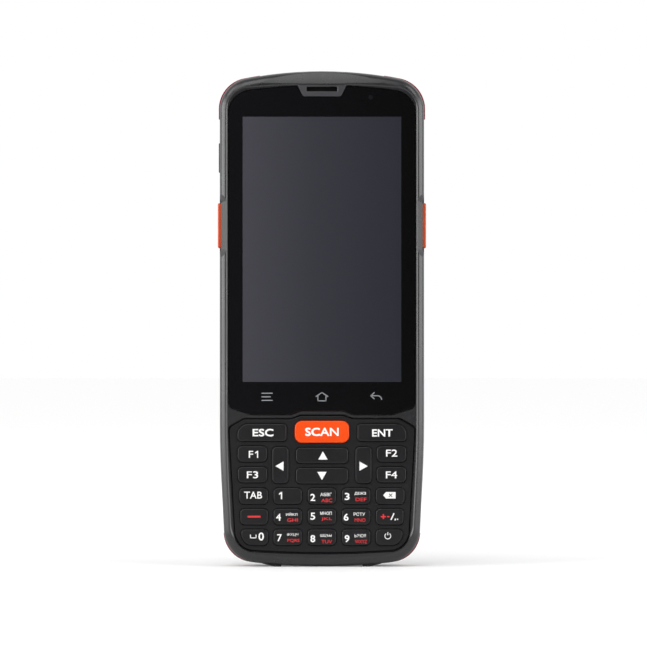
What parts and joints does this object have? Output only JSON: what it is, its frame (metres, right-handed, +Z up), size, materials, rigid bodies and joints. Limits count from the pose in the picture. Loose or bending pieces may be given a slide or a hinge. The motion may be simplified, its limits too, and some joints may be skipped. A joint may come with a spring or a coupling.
{
  "type": "barcode data terminal",
  "caption": "Upright handheld barcode terminal: touch display over a membrane-domed keypad, side scan triggers, thicker scanner head, hinged battery cover at the back",
  "frame": {"origin": "middle of the bottom of the bounding box, under the two standing feet", "axes": "+Z up along the terminal's length, -Y out of the screen, +Y out of the back, +X to the right as the user sees the screen"},
  "size_m": [0.0672, 0.0204, 0.16],
  "materials": {
    "housing_plastic": "moulded PC/ABS, fine spark texture",
    "latch_plastic": "moulded ABS, fine texture",
    "bumper_elastomer": "overmoulded elastomer, matt",
    "cover_glass": "polished cover glass, printed black behind",
    "display_plastic": "laminated display module",
    "chassis_aluminium": "stamped sheet, as rolled",
    "circuit_board": "glass epoxy with solder mask",
    "silicone": "moulded silicone rubber",
    "panel_plastic": "soft-touch painted plate",
    "key_plastic": "moulded key caps with printed legends",
    "scan_key_plastic": "orange moulded key cap",
    "trigger_plastic": "orange moulded key cap",
    "battery_wrap": "pouch cells in a moulded shell",
    "contact_metal": "gold plated spring alloy",
    "engine_plastic": "black moulded optics housing",
    "window_glass": "tinted hard-coated window",
    "led_lens": "clear lens over yellow phosphor",
    "mesh_steel": "woven steel mesh, blackened",
    "socket_steel": "drawn stainless shell",
    "screw_steel": "black zinc plated steel",
    "foot_rubber": "moulded rubber",
    "port_rubber": "moulded elastomer, matt"
  },
  "bodies": {
    "case": {"front_housing": "housing_plastic", "rear_housing": "housing_plastic", "corner_bumpers": "bumper_elastomer", "touch_glass": "cover_glass", "display_module": "display_plastic", "mid_frame": "chassis_aluminium", "earpiece_receiver": "display_plastic", "main_board": "circuit_board", "keypad_board": "circuit_board", "keymat": "silicone", "keypad_panel": "panel_plastic", "side_switches": "contact_metal", "battery_pack": "battery_wrap", "battery_contacts": "contact_metal", "scan_engine": "engine_plastic", "scan_window": "window_glass", "camera_module": "engine_plastic", "camera_window": "window_glass", "flash_led": "led_lens", "loudspeaker": "engine_plastic", "sound_meshes": "mesh_steel", "usb_socket": "socket_steel", "dock_contacts": "contact_metal", "housing_screws": "screw_steel", "board_screws": "screw_steel", "perimeter_gasket": "silicone", "hinge_pin": "screw_steel", "standing_feet": "foot_rubber"},
    "cover": {"battery_cover": "housing_plastic"},
    "latch": {"cover_latch": "latch_plastic"},
    "trigger_left_cap": {"trigger_left": "trigger_plastic"},
    "trigger_right_cap": {"trigger_right": "trigger_plastic"},
    "rocker": {"volume_rocker": "latch_plastic"},
    "port_flap": {"usb_flap": "port_rubber"},
    "key_esc_cap": {"key_esc": "key_plastic"},
    "key_scan_cap": {"key_scan": "scan_key_plastic"},
    "key_enter_cap": {"key_enter": "key_plastic"},
    "key_f1_cap": {"key_f1": "key_plastic"},
    "key_f2_cap": {"key_f2": "key_plastic"},
    "key_f3_cap": {"key_f3": "key_plastic"},
    "key_f4_cap": {"key_f4": "key_plastic"},
    "key_left_cap": {"key_left": "key_plastic"},
    "key_right_cap": {"key_right": "key_plastic"},
    "key_up_cap": {"key_up": "key_plastic"},
    "key_down_cap": {"key_down": "key_plastic"},
    "key_tab_cap": {"key_tab": "key_plastic"},
    "key_1_cap": {"key_1": "key_plastic"},
    "key_2_cap": {"key_2": "key_plastic"},
    "key_3_cap": {"key_3": "key_plastic"},
    "key_backspace_cap": {"key_backspace": "key_plastic"},
    "key_minus_cap": {"key_minus": "key_plastic"},
    "key_4_cap": {"key_4": "key_plastic"},
    "key_5_cap": {"key_5": "key_plastic"},
    "key_6_cap": {"key_6": "key_plastic"},
    "key_symbols_cap": {"key_symbols": "key_plastic"},
    "key_0_cap": {"key_0": "key_plastic"},
    "key_7_cap": {"key_7": "key_plastic"},
    "key_8_cap": {"key_8": "key_plastic"},
    "key_9_cap": {"key_9": "key_plastic"},
    "key_power_cap": {"key_power": "key_plastic"}
  },
  "joints": [
    {"name": "cover_hinge", "type": "hinge", "parent": "case", "child": "cover", "pos_m": [0, 0.0055, 0.1079], "axis": [1, 0, 0], "range_deg": [0, 110]},
    {"name": "latch_slide", "type": "slide", "parent": "cover", "child": "latch", "axis": [0, 0, -1], "range_m": [0, 0.002]},
    {"name": "trigger_left_press", "type": "slide", "parent": "case", "child": "trigger_left_cap", "axis": [1, 0, 0], "range_m": [0, 0.0004], "stiffness_N_per_m": 1500, "springref_m": -0.0003},
    {"name": "trigger_right_press", "type": "slide", "parent": "case", "child": "trigger_right_cap", "axis": [-1, 0, 0], "range_m": [0, 0.0004], "stiffness_N_per_m": 1500, "springref_m": -0.0003},
    {"name": "rocker_tilt", "type": "hinge", "parent": "case", "child": "rocker", "pos_m": [-0.0306, -0.005, 0.132], "axis": [0, 1, 0], "range_deg": [-2.5, 2.5], "stiffness_Nm_per_rad": 0.05},
    {"name": "port_flap_hinge", "type": "hinge", "parent": "case", "child": "port_flap", "pos_m": [0.03245, -0.00215, 0.1282], "axis": [0, 1, 0], "range_deg": [0, 90]},
    {"name": "key_esc_press", "type": "slide", "parent": "case", "child": "key_esc_cap", "axis": [0, 1, 0], "range_m": [0, 0.0005], "stiffness_N_per_m": 1200, "springref_m": -0.0004},
    {"name": "key_scan_press", "type": "slide", "parent": "case", "child": "key_scan_cap", "axis": [0, 1, 0], "range_m": [0, 0.0005], "stiffness_N_per_m": 1200, "springref_m": -0.0004},
    {"name": "key_enter_press", "type": "slide", "parent": "case", "child": "key_enter_cap", "axis": [0, 1, 0], "range_m": [0, 0.0005], "stiffness_N_per_m": 1200, "springref_m": -0.0004},
    {"name": "key_f1_press", "type": "slide", "parent": "case", "child": "key_f1_cap", "axis": [0, 1, 0], "range_m": [0, 0.0005], "stiffness_N_per_m": 1200, "springref_m": -0.0004},
    {"name": "key_f2_press", "type": "slide", "parent": "case", "child": "key_f2_cap", "axis": [0, 1, 0], "range_m": [0, 0.0005], "stiffness_N_per_m": 1200, "springref_m": -0.0004},
    {"name": "key_f3_press", "type": "slide", "parent": "case", "child": "key_f3_cap", "axis": [0, 1, 0], "range_m": [0, 0.0005], "stiffness_N_per_m": 1200, "springref_m": -0.0004},
    {"name": "key_f4_press", "type": "slide", "parent": "case", "child": "key_f4_cap", "axis": [0, 1, 0], "range_m": [0, 0.0005], "stiffness_N_per_m": 1200, "springref_m": -0.0004},
    {"name": "key_left_press", "type": "slide", "parent": "case", "child": "key_left_cap", "axis": [0, 1, 0], "range_m": [0, 0.0005], "stiffness_N_per_m": 1200, "springref_m": -0.0004},
    {"name": "key_right_press", "type": "slide", "parent": "case", "child": "key_right_cap", "axis": [0, 1, 0], "range_m": [0, 0.0005], "stiffness_N_per_m": 1200, "springref_m": -0.0004},
    {"name": "key_up_press", "type": "slide", "parent": "case", "child": "key_up_cap", "axis": [0, 1, 0], "range_m": [0, 0.0005], "stiffness_N_per_m": 1200, "springref_m": -0.0004},
    {"name": "key_down_press", "type": "slide", "parent": "case", "child": "key_down_cap", "axis": [0, 1, 0], "range_m": [0, 0.0005], "stiffness_N_per_m": 1200, "springref_m": -0.0004},
    {"name": "key_tab_press", "type": "slide", "parent": "case", "child": "key_tab_cap", "axis": [0, 1, 0], "range_m": [0, 0.0005], "stiffness_N_per_m": 1200, "springref_m": -0.0004},
    {"name": "key_1_press", "type": "slide", "parent": "case", "child": "key_1_cap", "axis": [0, 1, 0], "range_m": [0, 0.0005], "stiffness_N_per_m": 1200, "springref_m": -0.0004},
    {"name": "key_2_press", "type": "slide", "parent": "case", "child": "key_2_cap", "axis": [0, 1, 0], "range_m": [0, 0.0005], "stiffness_N_per_m": 1200, "springref_m": -0.0004},
    {"name": "key_3_press", "type": "slide", "parent": "case", "child": "key_3_cap", "axis": [0, 1, 0], "range_m": [0, 0.0005], "stiffness_N_per_m": 1200, "springref_m": -0.0004},
    {"name": "key_backspace_press", "type": "slide", "parent": "case", "child": "key_backspace_cap", "axis": [0, 1, 0], "range_m": [0, 0.0005], "stiffness_N_per_m": 1200, "springref_m": -0.0004},
    {"name": "key_minus_press", "type": "slide", "parent": "case", "child": "key_minus_cap", "axis": [0, 1, 0], "range_m": [0, 0.0005], "stiffness_N_per_m": 1200, "springref_m": -0.0004},
    {"name": "key_4_press", "type": "slide", "parent": "case", "child": "key_4_cap", "axis": [0, 1, 0], "range_m": [0, 0.0005], "stiffness_N_per_m": 1200, "springref_m": -0.0004},
    {"name": "key_5_press", "type": "slide", "parent": "case", "child": "key_5_cap", "axis": [0, 1, 0], "range_m": [0, 0.0005], "stiffness_N_per_m": 1200, "springref_m": -0.0004},
    {"name": "key_6_press", "type": "slide", "parent": "case", "child": "key_6_cap", "axis": [0, 1, 0], "range_m": [0, 0.0005], "stiffness_N_per_m": 1200, "springref_m": -0.0004},
    {"name": "key_symbols_press", "type": "slide", "parent": "case", "child": "key_symbols_cap", "axis": [0, 1, 0], "range_m": [0, 0.0005], "stiffness_N_per_m": 1200, "springref_m": -0.0004},
    {"name": "key_0_press", "type": "slide", "parent": "case", "child": "key_0_cap", "axis": [0, 1, 0], "range_m": [0, 0.0005], "stiffness_N_per_m": 1200, "springref_m": -0.0004},
    {"name": "key_7_press", "type": "slide", "parent": "case", "child": "key_7_cap", "axis": [0, 1, 0], "range_m": [0, 0.0005], "stiffness_N_per_m": 1200, "springref_m": -0.0004},
    {"name": "key_8_press", "type": "slide", "parent": "case", "child": "key_8_cap", "axis": [0, 1, 0], "range_m": [0, 0.0005], "stiffness_N_per_m": 1200, "springref_m": -0.0004},
    {"name": "key_9_press", "type": "slide", "parent": "case", "child": "key_9_cap", "axis": [0, 1, 0], "range_m": [0, 0.0005], "stiffness_N_per_m": 1200, "springref_m": -0.0004},
    {"name": "key_power_press", "type": "slide", "parent": "case", "child": "key_power_cap", "axis": [0, 1, 0], "range_m": [0, 0.0005], "stiffness_N_per_m": 1200, "springref_m": -0.0004}
  ]
}
